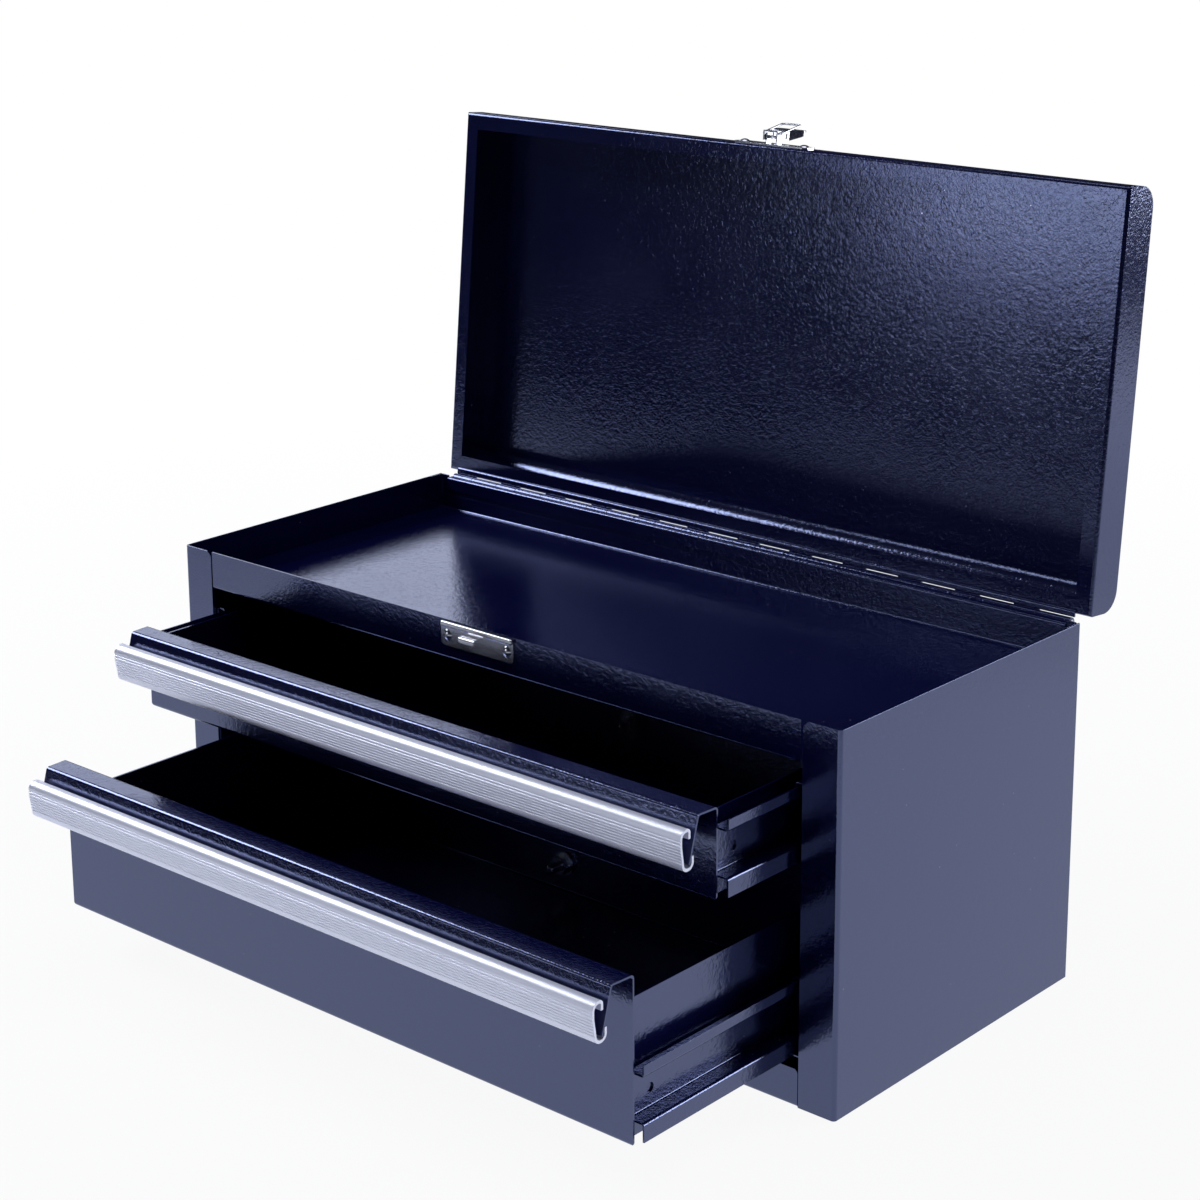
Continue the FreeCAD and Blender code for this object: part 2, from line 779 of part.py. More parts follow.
def drawer_right_side(d):
    """Side wall with a flange welded behind the front panel."""
    x_mid = drawer_half_width - half_sheet
    y0 = d.face + sheet + half_sheet
    path = [(x_mid - drawer_side_flange, y0), (x_mid, y0), (x_mid, d.face + drawer_depth - sheet)]
    side = span(bent_strip(path, [slide_bend], sheet, place_xy), along_z,
                d.bottom, d.bottom + d.side_height)
    inner = x_mid - half_sheet
    low = d.bottom + sheet
    side = side.cut(block(0, inner, -far, far, -far, low + drawer_bend))
    return side.cut(block(0, far, d.face, d.face + sheet + drawer_bend, -far, low + drawer_bend))


def drawer_right_hat(d):
    """Hat channel on the drawer side; its lips ride in the cabinet runner."""
    x_web = drawer_half_width + half_sheet
    x_lip = stile_inner - hat_lip_clear
    base = d.bottom
    path = [(x_lip, base + hat_foot_level), (x_lip, base + hat_lower_ledge + half_sheet),
            (x_web, base + hat_lower_ledge + half_sheet), (x_web, base + hat_upper_ledge - half_sheet),
            (x_lip, base + hat_upper_ledge - half_sheet), (x_lip, base + hat_top)]
    y0 = d.face + hat_front
    hat = span(bent_strip(path, [slide_bend] * 4, sheet, place_xz), along_y, y0, y0 + hat_length)
    hole = Part.makeCylinder(hat_hole_radius, 2 * sheet,
                             Vector(x_web - sheet, y0 + hat_hole_back, base + hat_hole_level), along_x)
    rear = y0 + hat_length
    tab = block(x_web - half_sheet, stile_inner - stop_hat_clear, rear - sheet, rear,
                base + stop_low, base + stop_high)
    return hat.cut(hole).fuse(tab).removeSplitter()


def right_runner(d):
    """C channel on the liner that holds the hat channel's lips."""
    x_web = stile_inner - half_sheet
    x_lip = stile_inner - runner_lip_inset
    base = d.bottom
    path = [(x_lip, base + runner_high_lip), (x_lip, base + runner_top - half_sheet),
            (x_web, base + runner_top - half_sheet), (x_web, base + runner_floor - half_sheet),
            (x_lip, base + runner_floor - half_sheet), (x_lip, base + runner_low_lip)]
    runner = span(bent_strip(path, [slide_bend] * 4, sheet, place_xz), along_y,
                  front + runner_clear, back - sheet - runner_clear)
    tab = block(x_web - stop_runner_reach, x_web, slide_stop_y - sheet, slide_stop_y,
                base + stop_low, base + stop_high)
    return runner.fuse(tab).removeSplitter()


def drawer_pull(d):
    """Aluminium pull: hooked top, fluted front and a root curled round the hood lip."""
    y = d.face - d.hood
    z = d.bottom + d.height
    half_wall = pull_wall / 2
    top = z - pull_drop - half_wall
    low = z - pull_drop - pull_height + half_wall
    knee = z - pull_knee_down
    nose = y - pull_front + half_wall
    toe = nose + pull_lean
    hook = y - pull_hook_out + half_wall
    rear = y - pull_back_out - half_wall
    path = [(hook, z - pull_drop - pull_hook_drop), (hook, top), (nose, top), (nose, knee),
            (toe, low), (rear, low), (rear, low + pull_back_rise)]
    bends = [pull_hook_radius, pull_top_radius, pull_knee_radius, pull_root_radius,
             pull_root_radius]
    face = bent_strip(path, bends, pull_wall, place_yz)
    slope = unit((nose, knee), (toe, low))
    out = half_wall + flute_radius - flute_depth
    cuts = []
    for i in range(flute_count):
        level = z - flute_first - i * flute_pitch
        centre = Vector(0, nose - out, level)
        if level < knee:
            run = knee - level
            centre = Vector(0, nose + slope[0] * run + slope[1] * out,
                            knee + slope[1] * run - slope[0] * out)
        cuts.append(Part.Face(Part.Wire(Part.makeCircle(flute_radius, centre, along_x))))
    face = face.cut(Part.makeCompound(cuts))
    return span(face, along_x, -d.pull_half, d.pull_half)


def rear_bolt(d):
    """Bolt through the rear wall: round head behind, domed end inside."""
    wall = d.face + drawer_depth
    centre = Vector(bolt_across, wall, d.bottom + bolt_level)
    tip = bolt_length + bolt_radius / 2
    points = [(0, bolt_head_rise), (bolt_head_radius, 0), (bolt_radius, 0),
              (bolt_radius, -bolt_length), (0, -tip)]
    end_mid = cap_point(bolt_radius, bolt_radius / 2, bolt_radius / 2)
    bulge = {0: cap_point(bolt_head_radius, bolt_head_rise, bolt_head_radius / 2),
             3: (end_mid[0], -bolt_length - end_mid[1])}
    return turned(half_section(points, bulge), centre, 1)


def bolt_washer(d):
    face = d.face + drawer_depth - sheet
    centre = Vector(bolt_across, face, d.bottom + bolt_level)
    ring = Part.makeCylinder(washer_radius, washer_thickness, centre, -along_y)
    return ring.cut(Part.makeCylinder(bolt_radius, washer_thickness, centre, -along_y))


def bolt_nut(d):
    face = d.face + drawer_depth - sheet - washer_thickness
    corner = nut_flats / math.sqrt(3)
    points = []
    for i in range(6):
        angle = math.radians(60 * i)
        points.append((bolt_across + corner * math.cos(angle),
                       d.bottom + bolt_level + corner * math.sin(angle)))
    nut = span(outline_face(points, [0] * 6, place_xz), along_y, face - nut_height, face)
    centre = Vector(bolt_across, face, d.bottom + bolt_level)
    return nut.cut(Part.makeCylinder(bolt_radius, nut_height, centre, -along_y))


def bolt_hole(tray, d):
    centre = Vector(bolt_across, d.face + drawer_depth + sheet, d.bottom + bolt_level)
    return tray.cut(Part.makeCylinder(bolt_radius, sheet * 3, centre, -along_y))


# ---------------------------------------------------------------- build


def write(name, shape):
    shape.exportStep(os.path.join("parts", name + ".step"))
    print(name, "volume", round(shape.Volume))


def write_group(name, shapes):
    write(name, Part.makeCompound(shapes))


os.makedirs("parts", exist_ok=True)

write("right_side_panel", right_side_panel())
write("left_side_panel", mirrored(right_side_panel()))
write("back_panel", back_panel())
write("bottom_pan", bottom_pan())
write("right_slide_liner", right_liner())
write("left_slide_liner", mirrored(right_liner()))
write("till_tray", till_tray())
write("hinge_cabinet_leaf", hinge_cabinet_leaf())
write("hinge_lid_leaf", hinge_lid_leaf())
write("hinge_pin", hinge_pin())
write("lid_wrap", lid_wrap())
write("right_lid_end", right_lid_end())
write("left_lid_end", mirrored(right_lid_end()))
write("latch_base", latch_base())
write("latch_lever", latch_lever())
write("latch_lever_pin", lever_pin())
write("latch_bail", latch_bail())
write_group("latch_base_rivets",
            [open_lid(r) for r in rivet_pair(lid_front - latch_sheet, rim_z + latch_rivet_up)])
write("strike_plate", strike_plate())
write_group("strike_rivets", rivet_pair(front - latch_sheet, cabinet_height - rivet_drop))
for drawer in (upper, lower):
    whole = drawer.name + "_drawer_"
    write(whole + "tray", bolt_hole(drawer_tray(drawer), drawer))
    write(whole + "right_side", drawer_right_side(drawer))
    write(whole + "left_side", mirrored(drawer_right_side(drawer)))
    write(whole + "right_hat_slide", drawer_right_hat(drawer))
    write(whole + "left_hat_slide", mirrored(drawer_right_hat(drawer)))
    write(whole + "pull", drawer_pull(drawer))
    write(whole + "rear_bolt", rear_bolt(drawer))
    write(whole + "bolt_washer", bolt_washer(drawer))
    write(whole + "bolt_nut", bolt_nut(drawer))
    write(drawer.name + "_right_runner", right_runner(drawer))
    write(drawer.name + "_left_runner", mirrored(right_runner(drawer)))
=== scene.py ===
import bpy
import json
import math
from mathutils import Matrix, Vector


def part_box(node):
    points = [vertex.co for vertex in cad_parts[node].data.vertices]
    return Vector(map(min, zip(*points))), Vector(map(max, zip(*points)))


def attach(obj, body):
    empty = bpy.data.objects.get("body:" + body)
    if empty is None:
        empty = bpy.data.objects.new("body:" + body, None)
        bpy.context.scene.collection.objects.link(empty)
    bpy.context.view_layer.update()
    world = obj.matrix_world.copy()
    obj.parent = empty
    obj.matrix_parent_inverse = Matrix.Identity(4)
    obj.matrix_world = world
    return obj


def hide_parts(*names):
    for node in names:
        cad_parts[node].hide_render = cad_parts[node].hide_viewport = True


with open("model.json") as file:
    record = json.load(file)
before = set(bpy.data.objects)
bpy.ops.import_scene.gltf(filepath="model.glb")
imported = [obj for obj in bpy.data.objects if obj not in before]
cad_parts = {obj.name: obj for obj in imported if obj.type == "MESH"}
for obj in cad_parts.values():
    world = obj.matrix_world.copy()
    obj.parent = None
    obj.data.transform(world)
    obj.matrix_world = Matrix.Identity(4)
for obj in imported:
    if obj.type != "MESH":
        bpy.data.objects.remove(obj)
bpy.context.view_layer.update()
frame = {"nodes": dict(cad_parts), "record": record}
nodes = frame["nodes"]
bodyOf = {node: body for body, members in frame["record"]["behaviour"]["bodies"].items()
          for node in members}
slotOf = {part["node"]: part["material_slot"] for part in frame["record"]["subparts"]}
scene = bpy.context.scene


# small helpers for working by hand on one piece at a time

def clearSelection():
    if bpy.context.object and bpy.context.object.mode != "OBJECT":
        bpy.ops.object.mode_set(mode="OBJECT")
    bpy.ops.object.select_all(action="DESELECT")


def pickUp(piece):
    clearSelection()
    piece.select_set(True)
    bpy.context.view_layer.objects.active = piece


def editAll(piece):
    pickUp(piece)
    bpy.ops.object.mode_set(mode="EDIT")
    bpy.ops.mesh.select_all(action="SELECT")


def applyModifiers(piece):
    pickUp(piece)
    for modifier in list(piece.modifiers):
        bpy.ops.object.modifier_apply(modifier=modifier.name)


def setDown(piece, name):
    # place, turn and size go into the mesh
    piece.name = name
    piece.data.name = name
    pickUp(piece)
    bpy.ops.object.transform_apply(location=True, rotation=True, scale=True)


# node groups shared by the finishes, each of which sets the inputs to its own values

def newGroup(name, inputs, outputs):
    group = bpy.data.node_groups.new(name, "ShaderNodeTree")
    for label in inputs:
        group.interface.new_socket(label, in_out="INPUT", socket_type="NodeSocketFloat")
    for label in outputs:
        group.interface.new_socket(label, in_out="OUTPUT", socket_type="NodeSocketFloat")
    enter = group.nodes.new("NodeGroupInput")
    leave = group.nodes.new("NodeGroupOutput")
    return group, enter, leave


def addNode(tree, kind, settings=None, values=None):
    node = tree.nodes.new(kind)
    for key, value in (settings or {}).items():
        setattr(node, key, value)
    for key, value in (values or {}).items():
        node.inputs[key].default_value = value
    return node


def mathNode(tree, operation, first, second):
    node = addNode(tree, "ShaderNodeMath", {"operation": operation})
    for i, source in enumerate((first, second)):
        if isinstance(source, (int, float)):
            node.inputs[i].default_value = source
        else:
            tree.links.new(source, node.inputs[i])
    return node.outputs[0]


grainShape = {"wormDetail": 2.0, "wormRoughness": 0.45, "ridge": 1.4, "pit": -0.5,
              "cellShare": 0.8, "cellBlend": 0.7, "cloud": 14.0, "cloudDetail": 4.0,
              "dustSpots": 90.0, "dustReach": 0.03}


def makeCoatGrain(shape):
    # wavy raised grain of a textured powder coat, with the odd fleck of dust
    group, enter, leave = newGroup("coatGrain", ("Grain", "Wave", "Fleck"),
                                   ("Height", "Tone", "Dust"))
    link = group.links.new
    where = addNode(group, "ShaderNodeTexCoord")
    worm = addNode(group, "ShaderNodeTexNoise", None,
                   {"Detail": shape["wormDetail"], "Roughness": shape["wormRoughness"]})
    link(where.outputs["Object"], worm.inputs["Vector"])
    link(enter.outputs["Grain"], worm.inputs["Scale"])
    link(enter.outputs["Wave"], worm.inputs["Distortion"])
    cell = addNode(group, "ShaderNodeTexVoronoi", {"feature": "SMOOTH_F1"},
                   {"Smoothness": shape["cellBlend"]})
    link(where.outputs["Object"], cell.inputs["Vector"])
    link(mathNode(group, "MULTIPLY", enter.outputs["Grain"], shape["cellShare"]),
         cell.inputs["Scale"])
    ridge = mathNode(group, "MULTIPLY", worm.outputs["Fac"], shape["ridge"])
    pit = mathNode(group, "MULTIPLY", cell.outputs["Distance"], shape["pit"])
    link(mathNode(group, "ADD", ridge, pit), leave.inputs["Height"])
    cloud = addNode(group, "ShaderNodeTexNoise", None,
                    {"Scale": shape["cloud"], "Detail": shape["cloudDetail"]})
    link(where.outputs["Object"], cloud.inputs["Vector"])
    link(cloud.outputs["Fac"], leave.inputs["Tone"])
    specks = addNode(group, "ShaderNodeTexVoronoi", {"feature": "F1"},
                     {"Scale": shape["dustSpots"]})
    link(where.outputs["Object"], specks.inputs["Vector"])
    near = mathNode(group, "LESS_THAN", specks.outputs["Distance"], shape["dustReach"])
    link(mathNode(group, "MULTIPLY", near, enter.outputs["Fleck"]), leave.inputs["Dust"])
    return group


lineShape = {"lineDetail": 3.0, "smudge": 22.0, "smudgeDetail": 5.0}


def makeDrawLines(shape):
    # long fine lines left by drawing or rolling along X
    group, enter, leave = newGroup("drawLines", ("Along", "Across"), ("Lines", "Smudge"))
    link = group.links.new
    where = addNode(group, "ShaderNodeTexCoord")
    scales = addNode(group, "ShaderNodeCombineXYZ")
    link(enter.outputs["Along"], scales.inputs["X"])
    link(enter.outputs["Across"], scales.inputs["Y"])
    link(enter.outputs["Across"], scales.inputs["Z"])
    stretch = addNode(group, "ShaderNodeVectorMath", {"operation": "MULTIPLY"})
    link(where.outputs["Object"], stretch.inputs[0])
    link(scales.outputs["Vector"], stretch.inputs[1])
    lines = addNode(group, "ShaderNodeTexNoise", None,
                    {"Scale": 1.0, "Detail": shape["lineDetail"]})
    link(stretch.outputs["Vector"], lines.inputs["Vector"])
    link(lines.outputs["Fac"], leave.inputs["Lines"])
    smudge = addNode(group, "ShaderNodeTexNoise", None,
                     {"Scale": shape["smudge"], "Detail": shape["smudgeDetail"]})
    link(where.outputs["Object"], smudge.inputs["Vector"])
    link(smudge.outputs["Fac"], leave.inputs["Smudge"])
    return group


coatGrain = makeCoatGrain(grainShape)
drawLines = makeDrawLines(lineShape)


def startMaterial(name):
    material = bpy.data.materials.new(name)
    material.use_nodes = True
    tree = material.node_tree
    return material, tree, tree.nodes["Principled BSDF"]


def useGroup(tree, group, values):
    return addNode(tree, "ShaderNodeGroup", {"node_tree": group}, values)


noiseRange = {"low": 0.3, "high": 0.7}  # where most of a noise pattern lies


def spread(tree, source, low, high):
    # brings a noise pattern between two values
    node = addNode(tree, "ShaderNodeMapRange", None,
                   {"From Min": noiseRange["low"], "From Max": noiseRange["high"],
                    "To Min": low, "To Max": high})
    tree.links.new(source, node.inputs["Value"])
    return node.outputs["Result"]


colourSocket = {"low": 6, "high": 7, "mixed": 2}  # the Mix node's sockets for colours


def mixColor(tree, factor, low, high):
    node = addNode(tree, "ShaderNodeMix", {"data_type": "RGBA"})
    tree.links.new(factor, node.inputs["Factor"])
    for index, colour in ((colourSocket["low"], low), (colourSocket["high"], high)):
        if isinstance(colour, tuple):
            node.inputs[index].default_value = (*colour, 1.0)
        else:
            tree.links.new(colour, node.inputs[index])
    return node.outputs[colourSocket["mixed"]]


def addBump(tree, shader, height, strength, distance):
    bump = addNode(tree, "ShaderNodeBump", None, {"Strength": strength, "Distance": distance})
    tree.links.new(height, bump.inputs["Height"])
    tree.links.new(bump.outputs["Normal"], shader.inputs["Normal"])


coatFinish = {"dark": (0.0015, 0.002, 0.028), "light": (0.003, 0.004, 0.040),
              "dust": (0.5, 0.5, 0.55), "tint": (0.54, 0.62, 1.0, 1.0), "rough": (0.12, 0.17),
              "grain": 400.0, "wave": 1.6, "fleck": 0.4, "bump": 0.45, "depth": 0.00015,
              "gloss": 0.92, "index": 1.8}


def powderCoat(name, finish):
    material, tree, shader = startMaterial(name)
    grain = useGroup(tree, coatGrain, {"Grain": finish["grain"], "Wave": finish["wave"],
                                       "Fleck": finish["fleck"]})
    paint = mixColor(tree, grain.outputs["Tone"], finish["dark"], finish["light"])
    tree.links.new(mixColor(tree, grain.outputs["Dust"], paint, finish["dust"]),
                   shader.inputs["Base Color"])
    tree.links.new(spread(tree, grain.outputs["Tone"], *finish["rough"]),
                   shader.inputs["Roughness"])
    shader.inputs["Specular IOR Level"].default_value = finish["gloss"]
    shader.inputs["Specular Tint"].default_value = finish["tint"]
    shader.inputs["IOR"].default_value = finish["index"]
    addBump(tree, shader, grain.outputs["Height"], finish["bump"], finish["depth"])
    return material


# lineShare is how much of the tone comes from the lines and not from the smudges
aluminiumFinish = {"dark": (0.86, 0.87, 0.97), "light": (0.90, 0.91, 1.0), "rough": (0.39, 0.43),
                   "along": 2.0, "across": 600.0, "lineShare": 0.5, "metal": 0.6}
nickelFinish = {"dark": (0.62, 0.62, 0.65), "light": (0.78, 0.78, 0.80), "rough": (0.16, 0.24),
                "along": 60.0, "across": 900.0, "lineShare": 0.5, "metal": 1.0,
                "bump": 0.04, "depth": 0.00002}
zincFinish = {"dark": (0.42, 0.43, 0.48), "light": (0.62, 0.63, 0.68), "rough": (0.16, 0.30),
              "along": 300.0, "across": 900.0, "lineShare": 0.5, "metal": 1.0,
              "bump": 0.08, "depth": 0.00003}


def drawnMetal(name, finish):
    material, tree, shader = startMaterial(name)
    marks = useGroup(tree, drawLines, {"Along": finish["along"], "Across": finish["across"]})
    lines = mathNode(tree, "MULTIPLY", marks.outputs["Lines"], finish["lineShare"])
    smudge = mathNode(tree, "MULTIPLY", marks.outputs["Smudge"], 1 - finish["lineShare"])
    streak = mathNode(tree, "ADD", lines, smudge)
    tree.links.new(mixColor(tree, streak, finish["dark"], finish["light"]),
                   shader.inputs["Base Color"])
    tree.links.new(spread(tree, streak, *finish["rough"]), shader.inputs["Roughness"])
    shader.inputs["Metallic"].default_value = finish["metal"]
    if "bump" in finish:
        addBump(tree, shader, marks.outputs["Lines"], finish["bump"], finish["depth"])
    return material


finishes = {"black_powder_coat": powderCoat("blackPowderCoat", coatFinish),
            "satin_aluminium": drawnMetal("satinAluminium", aluminiumFinish),
            "bright_nickel": drawnMetal("brightNickel", nickelFinish),
            "zinc_steel": drawnMetal("zincSteel", zincFinish)}
print("finishes made")


def dress(piece, slot):
    piece.data.materials.clear()
    piece.data.materials.append(finishes[slot])


for nodeName, node in nodes.items():
    dress(node, slotOf[nodeName])


# sheet edges, softened as the coat softens them

sheetEdge = {"width": 0.00025, "segments": 2, "corner": 38.0, "weld": 0.000002, "flat": 1.0,
             "smooth": 34.0, "wideFaces": 100}
metalEdge = {**sheetEdge, "width": 0.00012}


def softenEdges(nodeName, edge):
    source = nodes[nodeName]
    piece = bpy.data.objects.new(nodeName + "_finished", source.data.copy())
    scene.collection.objects.link(piece)
    editAll(piece)
    bpy.ops.mesh.remove_doubles(threshold=edge["weld"])
    bpy.ops.mesh.dissolve_limited(angle_limit=math.radians(edge["flat"]))
    bpy.ops.object.mode_set(mode="OBJECT")
    bevel = piece.modifiers.new("edge", "BEVEL")
    bevel.limit_method = "ANGLE"
    bevel.angle_limit = math.radians(edge["corner"])
    bevel.width = edge["width"]
    bevel.segments = edge["segments"]
    applyModifiers(piece)
    bpy.ops.object.shade_smooth_by_angle(angle=math.radians(edge["smooth"]))
    # the wide faces keep their own flat normals, only the softened edges turn
    flatten = piece.modifiers.new("flatten", "WEIGHTED_NORMAL")
    flatten.mode = "FACE_AREA"
    flatten.weight = edge["wideFaces"]
    flatten.keep_sharp = True
    applyModifiers(piece)
    dress(piece, slotOf[nodeName])
    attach(piece, bodyOf[nodeName])
    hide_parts(nodeName)


drawerNames = ["upper_drawer", "lower_drawer"]
sheetNodes = ["right_side_panel", "left_side_panel", "back_panel", "bottom_pan",
              "right_slide_liner", "left_slide_liner", "till_tray", "lid_wrap", "right_lid_end",
              "left_lid_end", "upper_right_runner", "upper_left_runner", "lower_right_runner",
              "lower_left_runner"]
drawerSheets = ["tray", "right_side", "left_side", "right_hat_slide", "left_hat_slide"]
metalNodes = ["strike_plate", "latch_base", "latch_lever", "upper_drawer_pull",
              "lower_drawer_pull"]
for nodeName in sheetNodes:
    softenEdges(nodeName, sheetEdge)
for drawerName in drawerNames:
    for ending in drawerSheets:
        softenEdges(drawerName + "_" + ending, sheetEdge)
for nodeName in metalNodes:
    softenEdges(nodeName, metalEdge)
print("sheets and metal edges softened")


# broken-off mandrel ends left in the bores of the pop rivets

mandrelEnd = {"radius": 0.00096, "floor": 0.00042, "length": 0.0004, "shoulder": 0.00012,
              "neck": 0.00055, "neckRise": 0.00014, "sides": 24, "topFacing": 0.9, "smooth": 40.0}


def rivetSeats(nodeName, axis):
    # the middle of each rivet's underside, from the reach of what lies left or right of x = 0
    seats = []
    upward = axis.cross(Vector((1, 0, 0)))
    for side in (-1, 1):
        own = [v.co for v in nodes[nodeName].data.vertices if v.co.x * side > 0]
        middle = Vector((0, 0, 0))
        for direction in (Vector((1, 0, 0)), upward):
            along = [co.dot(direction) for co in own]
            middle += direction * (min(along) + max(along)) / 2
        seats.append(middle + axis * min(co.dot(axis) for co in own))
    return seats


def addMandrel(name, seat, axis, body, look):
    clearSelection()
    bpy.ops.mesh.primitive_cylinder_add(vertices=look["sides"], radius=look["radius"],
                                        depth=look["length"], location=(0, 0, look["length"] / 2))
    piece = bpy.context.object
    bpy.ops.object.mode_set(mode="EDIT")
    bpy.ops.mesh.select_all(action="DESELECT")
    bpy.ops.object.mode_set(mode="OBJECT")
    for polygon in piece.data.polygons:
        polygon.select = polygon.normal.z > look["topFacing"]
    bpy.ops.object.mode_set(mode="EDIT")
    bpy.ops.mesh.select_mode(type="FACE")
    bpy.ops.mesh.inset(thickness=look["shoulder"], depth=look["shoulder"])
    bpy.ops.mesh.inset(thickness=look["radius"] - look["shoulder"] - look["neck"], depth=0)
    bpy.ops.mesh.extrude_region_move(TRANSFORM_OT_translate={"value": (0, 0, look["neckRise"])})
    bpy.ops.object.mode_set(mode="OBJECT")
    bpy.ops.object.shade_smooth_by_angle(angle=math.radians(look["smooth"]))
    piece.rotation_euler = axis.to_track_quat("Z", "Y").to_euler()
    turn = piece.rotation_euler.to_matrix()
    piece.location = seat + axis * look["floor"] + turn @ piece.location
    setDown(piece, name)
    dress(piece, "zinc_steel")
    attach(piece, body)


# the strike's rivets face the front, and the open lid turns those of the latch plate upwards
lidHinge = next(j for j in frame["record"]["behaviour"]["joints"] if j["name"] == "lid_hinge")
openTurn = math.radians(lidHinge["range_deg"][1])
outward = {"strike_rivets": Vector((0, -1, 0)),
           "latch_base_rivets": Vector((0, -math.cos(openTurn), math.sin(openTurn)))}
for nodeName, axis in outward.items():
    for seat, side in zip(rivetSeats(nodeName, axis), ("left", "right")):
        addMandrel(nodeName + "_" + side + "_mandrel", seat, axis, bodyOf[nodeName], mandrelEnd)


# thread on the free end of each drawer's rear bolt

boltThread = {"pitch": 0.001, "ridge": 0.00038, "nutGap": 0.0005, "domedEnd": 0.0018,
              "shank": 0.003, "sides": 3, "steps": 20, "smooth": 50.0}


def addThread(drawerName, look):
    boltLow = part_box(drawerName + "_rear_bolt")[0]
    nutLow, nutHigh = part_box(drawerName + "_bolt_nut")
    start = nutLow.y - look["nutGap"]
    turns = int((start - boltLow.y - look["domedEnd"]) / look["pitch"])
    clearSelection()
    bpy.ops.mesh.primitive_circle_add(vertices=look["sides"], radius=look["ridge"],
                                      fill_type="NOTHING")
    piece = bpy.context.object
    # the profile is stood up beside the bolt's axis, which runs along Y
    editAll(piece)
    for turnAxis in ("Y", "X"):
        bpy.ops.transform.rotate(value=math.radians(90), orient_axis=turnAxis,
                                 center_override=(0, 0, 0))
    bpy.ops.transform.translate(value=(0, 0, look["shank"]))
    bpy.ops.object.mode_set(mode="OBJECT")
    helix = piece.modifiers.new("helix", "SCREW")
    helix.axis = "Y"
    helix.angle = math.tau * turns
    helix.screw_offset = -look["pitch"] * turns
    helix.steps = look["steps"] * turns
    applyModifiers(piece)
    editAll(piece)
    # the helix's two open ends are closed
    bpy.ops.mesh.select_mode(type="EDGE")
    bpy.ops.mesh.select_all(action="DESELECT")
    bpy.ops.mesh.select_non_manifold()
    bpy.ops.mesh.edge_face_add()
    bpy.ops.mesh.select_all(action="SELECT")
    bpy.ops.mesh.normals_make_consistent(inside=False)
    bpy.ops.object.mode_set(mode="OBJECT")
    bpy.ops.object.shade_smooth_by_angle(angle=math.radians(look["smooth"]))
    piece.location = ((nutLow.x + nutHigh.x) / 2, start, (nutLow.z + nutHigh.z) / 2)
    setDown(piece, drawerName + "_bolt_thread")
    dress(piece, "zinc_steel")
    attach(piece, drawerName)


for drawerName in drawerNames:
    addThread(drawerName, boltThread)
print("rivet mandrels and bolt threads set")


# camera

cameraView = {"place": (0.9316, -1.0649, 0.6466), "azimuth": 41.364, "elevation": 14.316,
              "roll": -0.31, "film": 36.0, "lens": 79.97, "shiftX": -0.00105, "shiftY": -0.1347}


def addCamera(view):
    clearSelection()
    bpy.ops.object.camera_add(location=view["place"])
    camera = bpy.context.object
    camera.name = "chestCamera"
    camera.matrix_world = (Matrix.Translation(view["place"])
                           @ Matrix.Rotation(math.radians(view["azimuth"]), 4, "Z")
                           @ Matrix.Rotation(math.radians(90 - view["elevation"]), 4, "X")
                           @ Matrix.Rotation(math.radians(view["roll"]), 4, "Z"))
    camera.data.lens = view["lens"]
    camera.data.sensor_width = view["film"]
    camera.data.shift_x = view["shiftX"]
    camera.data.shift_y = view["shiftY"]
    scene.camera = camera


addCamera(cameraView)

# studio

softBoxes = {
    "rightBackBox": {"place": (2.0, 2.3, 0.75), "aim": (0.1, 0.0, 0.15),
                     "size": (1.6, 1.4), "power": 60.0},
    "leftBackBox": {"place": (-2.45, 1.6, 1.2), "aim": (-0.2, -0.1, 0.15),
                    "size": (1.6, 0.8), "power": 7.0},
    "leftFrontBox": {"place": (-2.05, -0.6, 1.8), "aim": (0.0, -0.2, 0.15),
                     "size": (1.4, 1.0), "power": 40.0},
    "frontBox": {"place": (-0.85, -1.62, 0.5), "aim": (0.2, 0.15, 0.4),
                 "size": (0.46, 0.32), "power": 1.3},
    "overBox": {"place": (0.1, 0.1, 2.3), "aim": (0.0, 0.0, 0.1),
                "size": (2.0, 1.6), "power": 16.0},
}
lampColour = (0.85, 0.89, 1.0)


def addSoftBox(name, box):
    clearSelection()
    bpy.ops.object.light_add(type="AREA", location=box["place"])
    lamp = bpy.context.object
    lamp.name = name
    lamp.data.shape = "RECTANGLE"
    lamp.data.size, lamp.data.size_y = box["size"]
    lamp.data.energy = box["power"]
    lamp.data.color = lampColour
    offset = lamp.location - Vector(box["aim"])
    lamp.rotation_euler = offset.to_track_quat("Z", "Y").to_euler()
    lamp.visible_camera = False


for boxName, box in softBoxes.items():
    addSoftBox(boxName, box)

# going outwards, the painted glow that shiny pieces mirror of the floor (an emission, though the
# floor is no lamp) fades from brightTo to darkFrom, and the shadow on it from shadowTo to
# whiteFrom
floorLook = {"radius": 1.9, "sides": 96, "level": -0.0003, "colour": (0.86, 0.86, 0.88, 1.0),
             "rough": 0.9, "seen": 0.93, "shadowTo": 0.4, "whiteFrom": 1.2,
             "mirrored": 0.9, "brightTo": 0.7, "darkFrom": 0.98,
             "paintedGlow": lampColour, "white": (1.0, 1.0, 1.0)}


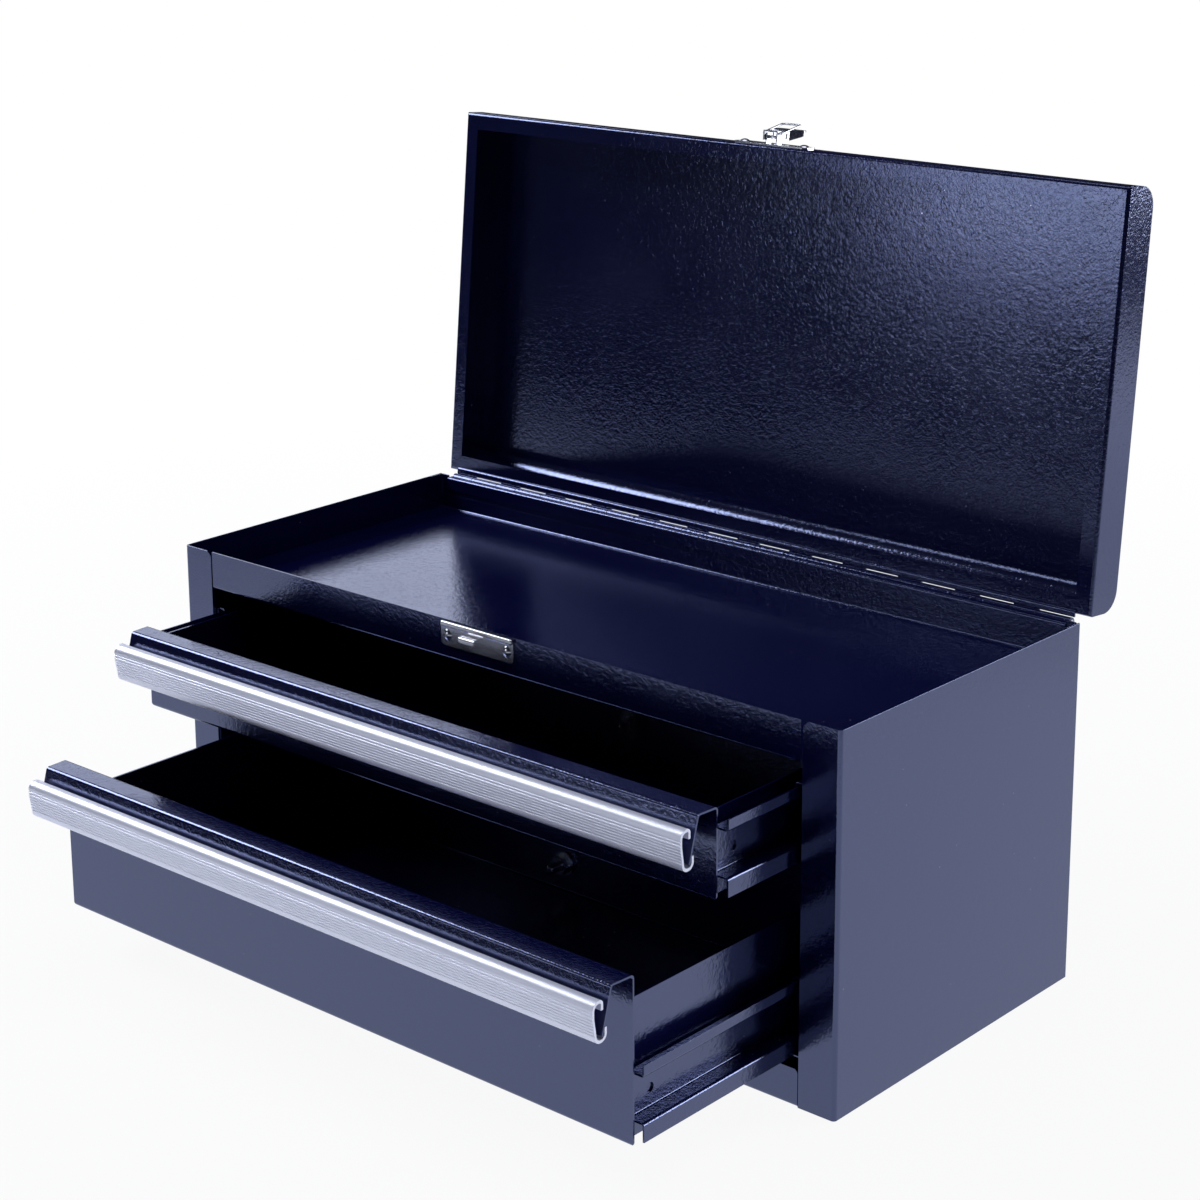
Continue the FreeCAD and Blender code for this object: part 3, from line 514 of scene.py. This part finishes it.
def addFloor(look):
    clearSelection()
    bpy.ops.mesh.primitive_circle_add(vertices=look["sides"], radius=look["radius"],
                                      fill_type="NGON", location=(0, 0, look["level"]))
    floor = bpy.context.object
    floor.name = "paleFloor"
    material, tree, shader = startMaterial("palePaperAndPaintedGlow")
    shader.inputs["Roughness"].default_value = look["rough"]
    shader.inputs["Base Color"].default_value = look["colour"]
    where = addNode(tree, "ShaderNodeTexCoord")
    distance = addNode(tree, "ShaderNodeVectorMath", {"operation": "LENGTH"})
    tree.links.new(where.outputs["Object"], distance.inputs[0])
    fade = addNode(tree, "ShaderNodeMapRange", None,
                   {"From Min": look["brightTo"], "From Max": look["darkFrom"],
                    "To Min": look["mirrored"], "To Max": 0.0})
    tree.links.new(distance.outputs["Value"], fade.inputs["Value"])
    path = addNode(tree, "ShaderNodeLightPath")
    # the floor's emission: plain white to the camera, and a painted glow in lamp colour to shiny
    # pieces
    paintedGlow = addNode(tree, "ShaderNodeEmission")
    tree.links.new(mixColor(tree, path.outputs["Is Camera Ray"], look["paintedGlow"], look["white"]),
                   paintedGlow.inputs["Color"])
    whiten = addNode(tree, "ShaderNodeMapRange", None,
                     {"From Min": look["shadowTo"], "From Max": look["whiteFrom"],
                      "To Min": look["seen"], "To Max": 1.0})
    tree.links.new(distance.outputs["Value"], whiten.inputs["Value"])
    seen = mathNode(tree, "MULTIPLY", path.outputs["Is Camera Ray"], whiten.outputs["Result"])
    mirrored = mathNode(tree, "MULTIPLY", path.outputs["Is Glossy Ray"], fade.outputs["Result"])
    blend = addNode(tree, "ShaderNodeMixShader")
    tree.links.new(mathNode(tree, "MAXIMUM", seen, mirrored), blend.inputs["Fac"])
    tree.links.new(shader.outputs["BSDF"], blend.inputs[1])
    tree.links.new(paintedGlow.outputs["Emission"], blend.inputs[2])
    tree.links.new(blend.outputs["Shader"], tree.nodes["Material Output"].inputs["Surface"])
    floor.data.materials.append(material)


addFloor(floorLook)

worldLook = {"grey": (0.017, 0.019, 0.03), "white": (1.0, 1.0, 1.0)}


def setWorld(look):
    world = bpy.data.worlds.new("studio")
    world.use_nodes = True
    scene.world = world
    tree = world.node_tree
    sky = tree.nodes["Background"]
    path = addNode(tree, "ShaderNodeLightPath")
    tree.links.new(mixColor(tree, path.outputs["Is Camera Ray"], look["grey"], look["white"]),
                   sky.inputs["Color"])


setWorld(worldLook)
scene.view_settings.view_transform = "Standard"
print("camera and studio set")
